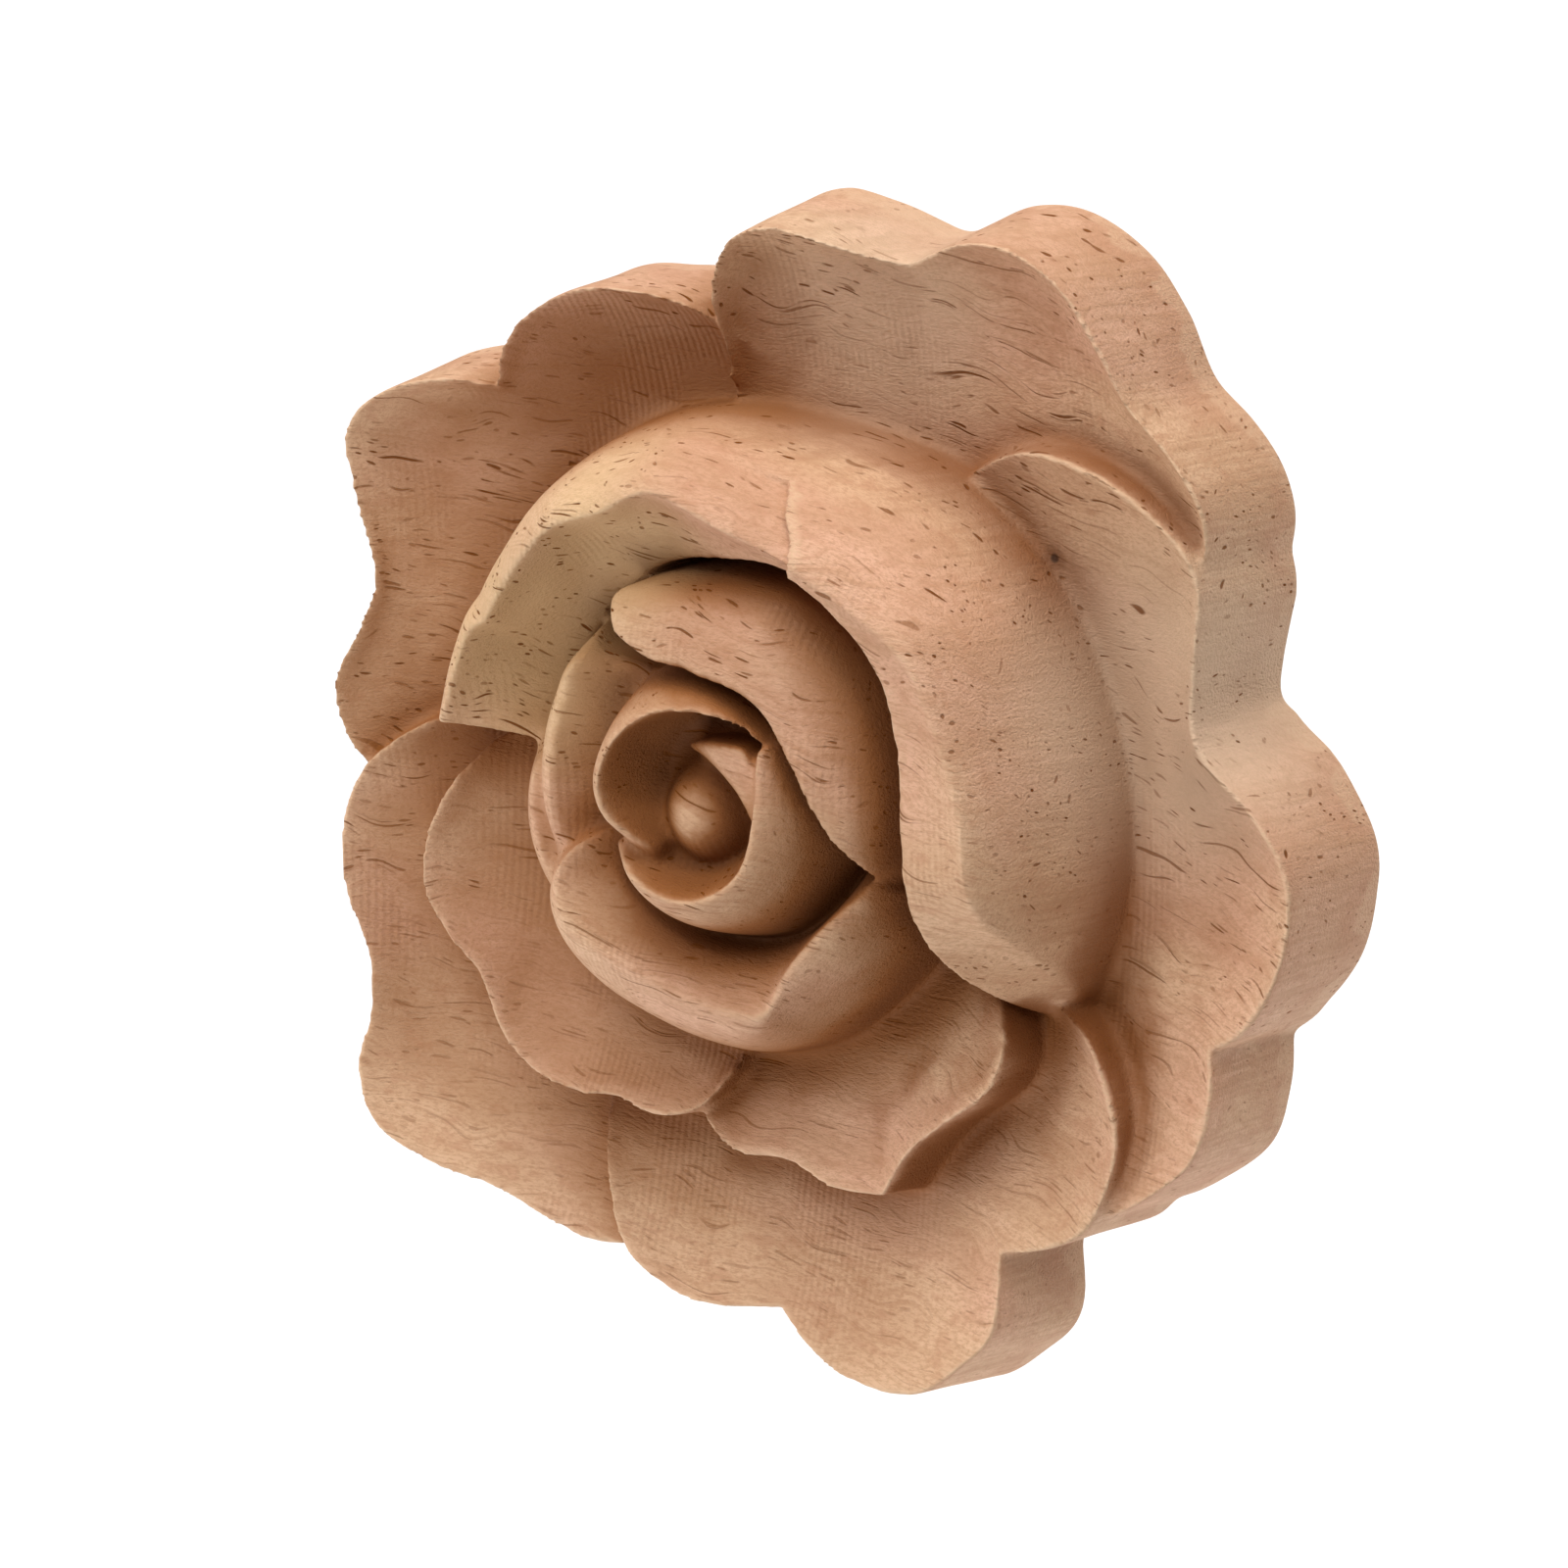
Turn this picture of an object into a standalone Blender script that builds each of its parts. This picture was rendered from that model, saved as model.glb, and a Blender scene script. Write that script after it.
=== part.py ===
"""A carved rose applique: one piece of hardwood, cut in relief from the front, flat at the back.

Metres, +Z up. The flower faces -Y, and its flat back lies in the plane Y = 0.
The origin is on the back, behind the axis of the bud.

Every petal is given by a few stations. A station is a clock angle in degrees, counted from +X
towards +Z as the flower is seen from the front, a reach from the bud's axis and a height above
the back, both in millimetres. A station written twice makes a sharp corner.
"""
from math import atan2, cos, degrees, pi, radians, sin

import bmesh
import bpy
from mathutils import Vector

MM = 0.001
SPAN_STEPS = 2              # facets between two stations along a petal
SECTION_STEPS = 5           # facets across a petal, between two of its lines
EASED_STATIONS = 3          # stations over which a rim's scallops are evened out at the root
BENCH_DEPTH = 1.0           # how far the blank reaches behind the flat back before it is sawn off
BENCH_STAGGER = 0.17        # each petal's blank ends at a depth of its own
BENCH_SIZE = 140.0
HEART_REACH = 21.0
HEART_HEIGHT = 7.6

WOOD_COLOUR = (0.56, 0.36, 0.235, 1.0)
WOOD_ROUGHNESS = 0.62
SHARP_EDGE = radians(38)

# How far a cut wall leans out for each unit that it falls, at clock angles round the flower.
WALL_LEANS = [
    (0, 0.15), (6, 0.22), (11, 0.22), (15, 0.12), (25, 0.18), (33, 0.12), (45, 0.11), (52, 0.16),
    (75, 0.15), (91, 0.165), (104, 0.10), (114, 0.035), (123, 0.09), (145, 0.13), (180, 0.10),
    (270, 0.10), (290, 0.12), (297, 0.12), (304, 0.04), (311, 0.07), (331, 0.06), (337, 0.09),
    (343, 0.04), (349, 0.07), (355, 0.09), (360, 0.15),
]

# The five outer petals: the line where each rises out of the flower, then its scalloped rim.
UPPER_LEFT_ROOT = [(99, 19, 3.6), (140, 19, 4.0), (192, 19, 4.0)]
UPPER_LEFT_RIM = [
    (96, 26.5, 4.8), (102, 31.0, 8.3), (109, 33.6, 9.4), (118, 35.8, 9.5), (126, 36.3, 9.5),
    (132, 35.6, 9.2), (136, 34.4, 8.5), (136, 34.4, 8.5), (140, 37.6, 9.4), (146, 40.8, 9.5),
    (152, 42.2, 9.5), (158, 39.8, 9.0), (165, 36.9, 8.6), (171, 37.2, 9.0), (178, 38.7, 9.5),
    (185, 37.4, 8.8), (190, 33.5, 7.5),
]
TOP_ROOT = [(27, 19, 4.0), (65, 18, 4.2), (110, 19, 4.0)]
TOP_RIM = [
    (27, 36.0, 8.0), (31, 38.8, 9.0), (35, 39.8, 9.4), (40, 39.7, 9.5), (46, 39.3, 9.5), (52, 40.5, 9.5),
    (58, 41.7, 9.5), (64, 41.6, 9.5), (69, 40.2, 9.2), (73, 38.0, 8.3), (76, 36.6, 7.5),
    (80, 36.4, 8.5), (86, 36.8, 9.4), (92, 37.2, 9.5), (97, 36.3, 9.5), (100, 33.6, 9.5),
    (101, 31.0, 9.2), (102, 28.2, 8.0), (104, 25.6, 6.2),
]
RIGHT_ROOT = [(304, 19, 4.5), (0, 19, 4.5), (58, 19, 4.5)]
RIGHT_RIM = [
    (306, 34.0, 7.0), (314, 36.8, 8.5), (320, 38.2, 9.3), (327, 39.3, 9.5), (333, 38.4, 9.3),
    (338, 36.7, 8.8), (338, 36.7, 8.8), (342, 38.7, 9.3), (348, 40.1, 9.5), (354, 40.5, 9.5),
    (359, 39.8, 9.5), (4, 37.4, 9.5), (9, 34.2, 9.3), (13, 33.3, 9.0), (18, 34.1, 9.0),
    (23, 35.6, 9.2), (27, 37.0, 9.3), (31, 37.2, 9.5), (36, 36.2, 9.5), (41, 34.9, 9.5),
    (46, 33.2, 9.3), (51, 31.1, 8.5), (55, 28.6, 7.4), (59, 25.4, 6.0),
]
BOTTOM_ROOT = [(236, 19, 5.0), (285, 19, 5.0), (322, 19, 5.0)]
BOTTOM_RIM = [
    (237, 30.0, 7.0), (240, 32.1, 8.0), (244, 34.5, 9.0), (249, 37.4, 9.5), (256, 38.6, 9.5),
    (262, 38.2, 9.3), (269, 37.3, 8.6), (269, 37.3, 8.6), (273, 39.4, 9.3), (278, 41.5, 9.5),
    (285, 42.6, 9.5), (291, 41.3, 9.5), (296, 39.6, 9.4), (300, 35.0, 8.8), (300, 35.0, 8.8),
    (306, 36.2, 9.3), (312, 36.9, 9.6), (318, 36.0, 10.0), (323, 34.4, 10.0), (327, 31.8, 10.0),
    (330, 28.6, 9.5), (330, 25.0, 8.5),
]
LOWER_LEFT_ROOT = [(178, 18, 4.5), (215, 19, 4.6), (252, 19, 4.0)]
LOWER_LEFT_RIM = [
    (178, 27.0, 7.0), (181, 31.5, 8.6), (186, 36.0, 9.5), (192, 38.7, 9.5), (199, 40.1, 9.4),
    (206, 40.3, 9.0), (211, 42.2, 8.9), (215, 45.2, 9.3), (220, 46.2, 9.5), (226, 44.2, 9.4),
    (232, 41.5, 8.9), (238, 40.3, 8.7), (244, 39.3, 8.4), (249, 37.4, 7.8), (254, 34.0, 6.5),
]

# The two middle petals, which stand over the outer ones at the lower left.
MIDDLE_LEFT_ROOT = [(178, 15, 7.6), (215, 16, 8.0), (266, 15, 8.0)]
MIDDLE_LEFT_RIM = [
    (179, 22.4, 8.6), (181, 24.2, 9.6), (184, 25.3, 10.8), (188, 26.8, 11.9), (195, 29.2, 12.5),
    (202, 30.5, 12.5), (209, 29.9, 12.3), (215, 29.2, 12.0), (223, 30.1, 12.0), (230, 29.7, 12.2),
    (237, 28.1, 12.3), (243, 26.4, 12.0), (250, 25.7, 12.3), (257, 23.9, 12.0), (261, 21.2, 11.0),
    (263, 18.5, 9.0),
]
MIDDLE_RIGHT_ROOT = [(255, 15, 7.6), (290, 15, 7.6), (322, 15, 7.6)]
MIDDLE_RIGHT_RIM = [
    (254, 22.0, 9.5), (257, 24.3, 11.0), (264, 26.0, 11.3), (273, 26.0, 11.0), (282, 27.7, 11.5),
    (290, 28.7, 11.5), (290, 28.7, 11.5), (297, 26.5, 11.8), (306, 25.9, 12.0), (315, 26.0, 12.0),
    (321, 24.8, 11.2), (325, 22.0, 9.5),
]

# The big rolled petal wraps the bud from the lower right, over the top, to its tip at the left.
ROLL_FOOT = [
    (328, 26.6, 5.5), (334, 26.6, 4.8), (341, 26.3, 4.2), (348, 26.2, 4.0), (356, 26.2, 4.0),
    (6, 26.0, 4.0), (20, 25.5, 4.0), (35, 25.5, 4.0), (50, 25.3, 4.0), (66, 24.8, 4.0),
    (82, 24.2, 4.0), (98, 24.9, 4.0), (106, 25.4, 4.0), (114, 25.9, 4.0), (124, 26.3, 4.0),
    (135, 26.5, 4.0), (147, 26.7, 4.0), (155, 27.1, 4.0), (159, 27.3, 4.0), (168, 27.7, 4.0),
    (178, 28.2, 4.0),
]
ROLL_CREST = [
    (329, 25.8, 7.0), (335, 25.3, 9.8), (341, 24.2, 14.0), (347, 23.2, 18.0), (354, 22.4, 20.0),
    (6, 22.2, 20.5), (20, 21.6, 20.5), (35, 21.4, 20.5), (50, 19.8, 20.5), (66, 19.1, 20.5),
    (81, 19.2, 20.3), (97, 20.8, 20.0), (104, 20.8, 19.9), (112, 20.3, 19.7), (124, 21.0, 19.3),
    (135, 21.0, 18.6), (147, 21.4, 17.2), (155, 22.1, 16.1), (155, 22.1, 16.1), (159, 23.3, 15.7),
    (168, 24.2, 14.9), (177, 25.5, 14.0),
]
ROLL_INNER = [
    (326, 24.6, 7.0), (326, 22.8, 9.5), (329, 20.6, 13.2), (336, 18.8, 16.8), (347, 17.3, 19.0),
    (2, 16.6, 19.3), (18, 17.2, 19.3), (34, 18.4, 19.6), (49, 18.4, 19.8), (63, 18.3, 20.0),
    (78, 17.0, 18.4), (96, 16.1, 16.4), (103, 16.0, 15.6), (111, 16.0, 14.9), (122, 16.0, 13.8),
    (134, 16.2, 12.6), (147, 16.6, 11.4), (157, 17.2, 10.6), (163, 17.4, 10.4), (171, 17.8, 10.8),
    (178, 18.4, 11.8),
]

# The petals of the bud: foot, rim and inner side. The cape has a shoulder between foot and rim.
CAPE_FOOT = [
    (340, 15.6, 9.0), (20, 16.4, 9.5), (60, 16.8, 9.5), (84, 15.8, 9.5), (100, 15.5, 9.5), (121, 16.0, 9.5),
]
CAPE_SHOULDER = [
    (341, 14.2, 12.6), (352, 15.0, 13.2), (10, 15.6, 13.8), (25, 15.9, 14.6), (40, 16.1, 15.4),
    (53, 16.0, 16.2), (64, 15.8, 16.8), (72, 15.4, 17.0), (84, 14.8, 17.2), (97, 14.5, 17.3),
    (109, 15.0, 17.3), (118, 15.4, 17.3), (122, 15.2, 17.3),
]
CAPE_RIM = [
    (341, 13.0, 15.5), (346, 13.0, 17.5), (354, 11.5, 19.2), (6, 10.1, 20.0), (20, 9.6, 20.4),
    (34, 9.4, 20.5), (48, 9.6, 20.5), (63, 9.4, 20.5), (80, 9.0, 20.3), (96, 9.4, 20.1),
    (108, 10.0, 20.0), (118, 11.7, 19.6), (122, 12.7, 19.1), (123, 13.1, 18.7),
]
CUP_FOOT = [
    (198, 19.5, 7.6), (215, 21.0, 7.6), (232, 20.9, 7.6), (250, 19.8, 7.6), (268, 19.2, 7.6),
    (285, 18.2, 7.6), (302, 17.0, 7.6), (322, 16.5, 7.6), (340, 16.0, 7.6),
]
CUP_RIM = [
    (200, 10.5, 15.6), (203, 12.9, 17.0), (209, 15.0, 17.3), (218, 15.6, 17.6), (229, 14.8, 17.8),
    (243, 13.8, 18.0), (262, 13.8, 18.0), (276, 14.2, 18.0), (286, 14.7, 18.0), (291, 14.4, 18.0),
    (297, 13.2, 18.0), (305, 12.3, 18.0), (315, 11.9, 18.0), (325, 12.0, 17.8), (335, 12.6, 17.2),
    (342, 13.1, 16.4),
]
CUP_SHELF = [
    (200, 9.4, 14.8), (214, 11.0, 15.6), (235, 10.8, 15.8), (262, 10.7, 15.7), (286, 10.9, 15.4),
    (305, 10.8, 14.8), (325, 10.8, 14.0), (343, 11.2, 13.2),
]
CUP_INNER = [(200, 8.0, 13.5), (250, 9.0, 11.6), (300, 9.5, 10.6), (345, 10.0, 10.8)]
LEFT_FOOT = [(142, 16.3, 9.0), (160, 16.6, 9.0), (180, 17.4, 9.5), (206, 18.0, 10.0)]
LEFT_RIM = [
    (141, 13.8, 15.4), (144, 14.0, 16.5), (149, 14.1, 16.9), (157, 14.0, 16.6), (168, 14.0, 16.5),
    (181, 14.3, 16.3), (192, 14.6, 16.0), (203, 14.4, 15.3),
]
LEFT_INNER = [(127, 9.6, 15.2), (146, 10.0, 14.6), (168, 10.2, 14.2), (183, 10.6, 14.0), (200, 10.6, 13.8)]
LEDGE_FOOT = [(176, 20.5, 8.0), (200, 21.5, 8.0), (222, 21.5, 8.0)]
LEDGE_RIM = [(174, 16.6, 12.5), (182, 17.2, 14.0), (192, 17.9, 14.1), (202, 17.9, 14.0), (212, 17.4, 13.0)]
LEDGE_INNER = [(176, 14.5, 13.2), (195, 14.8, 13.4), (212, 14.8, 12.6)]

# The spiral at the heart of the bud.
COIL_FOOT = [
    (27, 10.6, 13.0), (80, 8.9, 14.0), (118, 9.6, 15.4), (150, 9.8, 14.6), (178, 9.6, 14.2),
    (200, 8.4, 13.6), (236, 7.4, 14.0),
]
COIL_RIM = [
    (36, 8.0, 19.4), (43, 7.9, 20.4), (51, 7.9, 20.9), (62, 7.5, 21.3), (82, 6.9, 21.5), (108, 6.6, 21.5),
    (138, 6.5, 21.5), (166, 6.5, 21.5), (189, 6.1, 21.2), (208, 5.0, 20.5), (228, 4.5, 19.4),
]
COIL_INNER = [
    (36, 7.2, 18.0), (62, 6.6, 16.8), (90, 5.9, 16.4), (125, 5.0, 16.8), (160, 4.4, 17.2),
    (228, 3.4, 17.0),
]
WRAP_FOOT = [(204, 10.2, 11.0), (250, 10.4, 10.4), (300, 10.6, 10.2), (350, 11.0, 10.4), (36, 10.6, 12.0)]
WRAP_RIM = [
    (207, 7.5, 18.6), (225, 6.9, 20.2), (247, 6.4, 20.8), (276, 6.2, 21.0), (305, 6.0, 21.0),
    (331, 5.9, 21.0), (359, 5.9, 21.0), (17, 6.4, 21.0), (29, 7.0, 20.9), (38, 7.7, 20.6),
]
WRAP_INNER = [(210, 4.6, 17.0), (270, 4.6, 17.2), (330, 4.4, 17.4), (20, 4.6, 18.0), (40, 5.4, 18.0)]
LEAF_FOOT = [
    (102, 4.2, 18.8), (80, 4.6, 19.5), (60, 5.4, 20.0), (42, 6.6, 20.3), (15, 6.2, 20.0),
    (350, 6.0, 19.4),
]
LEAF_RIM = [
    (104, 3.9, 18.6), (78, 3.5, 19.2), (52, 3.5, 19.6), (22, 4.1, 19.9), (1, 4.9, 19.9), (348, 5.1, 19.2),
]
LEAF_INNER = [(120, 2.4, 16.5), (40, 2.2, 16.5), (340, 3.0, 16.5)]
KNOB_PLACE = (-0.4, -0.9)
KNOB_REACH = (3.7, 3.8)
KNOB_TURN = radians(6)
KNOB_FOOT = 15.0
KNOB_TOP = 19.5


def place(station):
    """The station's place in plan, as X, Z and height above the back, in metres."""
    angle, reach, height = station
    turn = radians(angle)
    return Vector((reach * cos(turn), reach * sin(turn), height)) * MM


def smooth_line(stations, steps):
    """A smooth line through the stations, with this many steps between each two of them."""
    places = [place(station) for station in stations]
    line = [places[0]]
    for index in range(len(places) - 1):
        start = places[index]
        end = places[index + 1]
        if start == end:
            continue
        before = places[index - 1] if index else start * 2 - end
        after = places[index + 2] if index + 2 < len(places) else end * 2 - start
        leave = (end - before) / 2
        arrive = (after - start) / 2
        for step in range(1, steps + 1):
            share = step / steps
            rest = 1 - share
            blend = share * share * (3 - 2 * share)
            line.append(start.lerp(end, blend) + leave * share * rest * rest - arrive * share * share * rest)
    return line


def stretched(line, count):
    """The same line, read at this many evenly counted places."""
    points = []
    for index in range(count):
        position = index * (len(line) - 1) / (count - 1)
        first = min(int(position), len(line) - 2)
        points.append(line[first].lerp(line[first + 1], position - first))
    return points


def section_point(low, high, share, bow):
    """A point on the way up from low to high. A bow of 1 bulges and of -1 hollows like a quarter ellipse."""
    turn = share * pi / 2
    bulge = (1 - cos(turn), sin(turn))
    along, rise = bulge if bow > 0 else bulge[::-1]
    along = share + (along - share) * abs(bow)
    rise = share + (rise - share) * abs(bow)
    return Vector((low.x + (high.x - low.x) * along, low.y + (high.y - low.y) * along,
                   low.z + (high.z - low.z) * rise))


def wall_lean(clock):
    """How far the cut wall leans out at this clock angle."""
    for (start, lean), (end, next_lean) in zip(WALL_LEANS, WALL_LEANS[1:]):
        if clock <= end:
            return lean + (next_lean - lean) * (clock - start) / (end - start)
    return WALL_LEANS[-1][1]


def wall_line(rim, depth):
    """The line where a cut wall that leans out from the rim reaches the given depth behind the back."""
    line = []
    for index, point in enumerate(rim):
        ahead = rim[min(index + 1, len(rim) - 1)]
        behind = rim[max(index - 1, 0)]
        out = Vector((ahead.y - behind.y, behind.x - ahead.x, 0)).normalized()
        foot = point + out * (point.z + depth) * wall_lean(degrees(atan2(point.y, point.x)) % 360)
        line.append(Vector((foot.x, foot.y, -depth)))
    return line


def eased(line):
    """The line with its scallops evened out over a few stations, its two ends kept."""
    reach = EASED_STATIONS * SPAN_STEPS
    points = []
    for index in range(len(line)):
        span = min(reach, index, len(line) - 1 - index)
        near = line[index - span:index + span + 1]
        points.append(sum(near, Vector((0, 0, 0))) / len(near))
    return points


def petal_sections(lines, bows, depth, walled):
    """The petal's surface as rows of points, from its first line across to its last.

    On a walled petal the scallops of the rim die away towards the root.
    """
    count = max(len(line) for line in lines)
    lines = [line if len(line) == count else stretched(line, count) for line in lines]
    rows = [lines[0]]
    for first, second, bow in zip(lines, lines[1:], bows):
        rises = sum(point.z for point in second) > sum(point.z for point in first)
        even = eased(second) if walled else second
        for step in range(1, SECTION_STEPS + 1):
            share = step / SECTION_STEPS
            if rises:
                ends = [far.lerp(edge, share) for far, edge in zip(even, second)]
                rows.append([section_point(a, b, share, bow) for a, b in zip(first, ends)])
            else:
                rows.append([section_point(b, a, 1 - share, bow) for a, b in zip(first, second)])
    if walled:
        rows.append(wall_line(rows[-1], depth))
    return rows


def solid_from_rows(name, rows, depth):
    """A closed solid under the rows of points, down to the given depth behind the back."""
    across = len(rows) - 1
    along = len(rows[0]) - 1
    mesh_maker = bmesh.new()
    bmesh.ops.create_grid(mesh_maker, x_segments=across, y_segments=along, size=1)
    for vertex in mesh_maker.verts:
        row = rows[round((vertex.co.x + 1) / 2 * across)]
        point = row[round((vertex.co.y + 1) / 2 * along)]
        vertex.co = (point.x, -point.z, point.y)
    below = bmesh.ops.extrude_face_region(mesh_maker, geom=mesh_maker.faces[:])
    for item in below["geom"]:
        if isinstance(item, bmesh.types.BMVert):
            item.co.y = depth + BENCH_DEPTH * MM
    return finished_object(name, mesh_maker)


def finished_object(name, mesh_maker):
    """The modelled shape, its faces pointing out, as an object of its own in the scene."""
    mesh_maker.normal_update()
    bmesh.ops.recalc_face_normals(mesh_maker, faces=mesh_maker.faces[:])
    mesh = bpy.data.meshes.new(name)
    mesh_maker.to_mesh(mesh)
    mesh_maker.free()
    item = bpy.data.objects.new(name, mesh)
    bpy.context.scene.collection.objects.link(item)
    return item


def petal(name, lines, bows, walled=False):
    """One petal's solid, joined to the flower afterwards."""
    depth = (BENCH_DEPTH + BENCH_STAGGER * len(bpy.data.objects)) * MM
    smooth = [smooth_line(stations, SPAN_STEPS) for stations in lines]
    return solid_from_rows(name, petal_sections(smooth, bows, depth, walled), depth)


def heart():
    """The round core that carries the bud's petals."""
    mesh_maker = bmesh.new()
    bmesh.ops.create_cone(mesh_maker, cap_ends=True, segments=48, radius1=HEART_REACH * MM,
                          radius2=HEART_REACH * MM, depth=(HEART_HEIGHT + 2 * BENCH_DEPTH) * MM)
    for vertex in mesh_maker.verts:
        x, y, z = vertex.co
        vertex.co = (x, z - (HEART_HEIGHT - 2 * BENCH_DEPTH) * MM / 2, y)
    return finished_object("rose", mesh_maker)


def inner_floor(name, reach, height):
    """A round floor inside the bud."""
    mesh_maker = bmesh.new()
    bmesh.ops.create_cone(mesh_maker, cap_ends=True, segments=32, radius1=reach * MM,
                          radius2=reach * MM, depth=height * MM)
    for vertex in mesh_maker.verts:
        x, y, z = vertex.co
        vertex.co = (x, z - height * MM / 2, y)
    return finished_object(name, mesh_maker)


def knob():
    """The small bead in the middle of the spiral."""
    mesh_maker = bmesh.new()
    bmesh.ops.create_uvsphere(mesh_maker, u_segments=20, v_segments=10, radius=1)
    for vertex in mesh_maker.verts:
        wide = vertex.co.x * KNOB_REACH[0]
        long = vertex.co.y * KNOB_REACH[1]
        x = KNOB_PLACE[0] + wide * cos(KNOB_TURN) - long * sin(KNOB_TURN)
        z = KNOB_PLACE[1] + wide * sin(KNOB_TURN) + long * cos(KNOB_TURN)
        vertex.co = (x * MM, -(KNOB_FOOT + vertex.co.z * (KNOB_TOP - KNOB_FOOT)) * MM, z * MM)
    return finished_object("knob", mesh_maker)


def bench():
    """The block behind the flat back, which the saw takes away."""
    mesh_maker = bmesh.new()
    bmesh.ops.create_cube(mesh_maker, size=BENCH_SIZE * MM)
    bmesh.ops.translate(mesh_maker, verts=mesh_maker.verts[:], vec=(0, BENCH_SIZE * MM / 2, 0))
    return finished_object("bench", mesh_maker)


def as_guide(item):
    """Keep the item out of the finished flower: it only shapes it."""
    item.hide_render = True
    item.display_type = "WIRE"
    return item


def join_petals(item, petals):
    """Join all the petals' solids to the item in one go."""
    group = bpy.data.collections.new("petals")
    bpy.context.scene.collection.children.link(group)
    for solid in petals:
        group.objects.link(as_guide(solid))
    modifier = item.modifiers.new("petals", "BOOLEAN")
    modifier.operation = "UNION"
    modifier.solver = "EXACT"
    modifier.operand_type = "COLLECTION"
    modifier.collection = group


def saw_back(item):
    """Cut the item off flat at the back."""
    modifier = item.modifiers.new("bench", "BOOLEAN")
    modifier.operation = "DIFFERENCE"
    modifier.solver = "EXACT"
    modifier.object = as_guide(bench())


def wood():
    """Pale hardwood, sanded but unfinished."""
    material = bpy.data.materials.new("wood")
    material.use_nodes = True
    shader = material.node_tree.nodes["Principled BSDF"]
    shader.inputs["Base Color"].default_value = WOOD_COLOUR
    shader.inputs["Roughness"].default_value = WOOD_ROUGHNESS
    shader.inputs["Metallic"].default_value = 0.0
    return material


for old in list(bpy.data.objects):
    bpy.data.objects.remove(old)

rose = heart()
joined = [
    petal("upper_left", [UPPER_LEFT_ROOT, UPPER_LEFT_RIM], [-0.8], walled=True),
    petal("top", [TOP_ROOT, TOP_RIM], [-0.85], walled=True),
    petal("right", [RIGHT_ROOT, RIGHT_RIM], [-0.5], walled=True),
    petal("bottom", [BOTTOM_ROOT, BOTTOM_RIM], [-0.5], walled=True),
    petal("lower_left", [LOWER_LEFT_ROOT, LOWER_LEFT_RIM], [-0.5], walled=True),
    petal("middle_left", [MIDDLE_LEFT_ROOT, MIDDLE_LEFT_RIM], [-0.6], walled=True),
    petal("middle_right", [MIDDLE_RIGHT_ROOT, MIDDLE_RIGHT_RIM], [-0.6], walled=True),
    petal("roll", [ROLL_FOOT, ROLL_CREST, ROLL_INNER], [0.8, -0.5]),
    petal("ledge", [LEDGE_FOOT, LEDGE_RIM, LEDGE_INNER], [0.6, -0.2]),
    petal("left", [LEFT_FOOT, LEFT_RIM, LEFT_INNER], [0.85, 0.1]),
    petal("cup", [CUP_FOOT, CUP_RIM, CUP_SHELF, CUP_INNER], [0.75, 0.25, -0.3]),
    petal("cape", [CAPE_FOOT, CAPE_SHOULDER, CAPE_RIM], [0.1, 0.75]),
    inner_floor("bud_floor", 11.5, 10.5),
    petal("coil", [COIL_FOOT, COIL_RIM, COIL_INNER], [0.7, -0.4]),
    petal("wrap", [WRAP_FOOT, WRAP_RIM, WRAP_INNER], [0.75, -0.4]),
    petal("leaf", [LEAF_FOOT, LEAF_RIM, LEAF_INNER], [0.5, -0.4]),
    inner_floor("spiral_floor", 6.5, 16.4),
    knob(),
]
join_petals(rose, joined)
saw_back(rose)
rose.data.materials.append(wood())
rose.data.shade_smooth()
rose.data.set_sharp_from_angle(angle=SHARP_EDGE)
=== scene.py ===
"""The looks of a carved wood rose applique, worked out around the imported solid."""
from math import atan2, cos, degrees, pi, radians, sin

import bmesh
import bpy
import numpy as np
from mathutils import Matrix, Vector, noise
from mathutils.bvhtree import BVHTree


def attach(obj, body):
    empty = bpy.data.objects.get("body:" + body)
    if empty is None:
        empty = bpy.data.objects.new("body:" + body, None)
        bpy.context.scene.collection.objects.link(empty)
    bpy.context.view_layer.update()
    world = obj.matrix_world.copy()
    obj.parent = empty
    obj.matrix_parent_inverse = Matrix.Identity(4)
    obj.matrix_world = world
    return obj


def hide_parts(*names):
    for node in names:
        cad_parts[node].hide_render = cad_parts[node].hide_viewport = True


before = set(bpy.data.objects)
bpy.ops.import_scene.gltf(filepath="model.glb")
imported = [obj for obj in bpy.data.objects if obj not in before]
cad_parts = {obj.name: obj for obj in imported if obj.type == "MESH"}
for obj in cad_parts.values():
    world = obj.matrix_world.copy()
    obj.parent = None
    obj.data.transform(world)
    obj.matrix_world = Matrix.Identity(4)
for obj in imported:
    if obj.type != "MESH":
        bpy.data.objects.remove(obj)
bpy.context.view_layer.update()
MM = 0.001

# The camera stands to the right of the flower and a little above it, far off, as for a picture
# of goods: 36 degrees round from straight in front and 13 degrees up, with a long lens.
VIEW_ROUND = radians(36.0)
VIEW_UP = radians(13.0)
CAMERA_DISTANCE = 0.5333
AIM_LEFT = 5.33 * MM
AIM_DOWN = 2.07 * MM
LENS_MM = 180.0
SENSOR_MM = 36.0
NEAREST = 0.05
FARTHEST = 20

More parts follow.
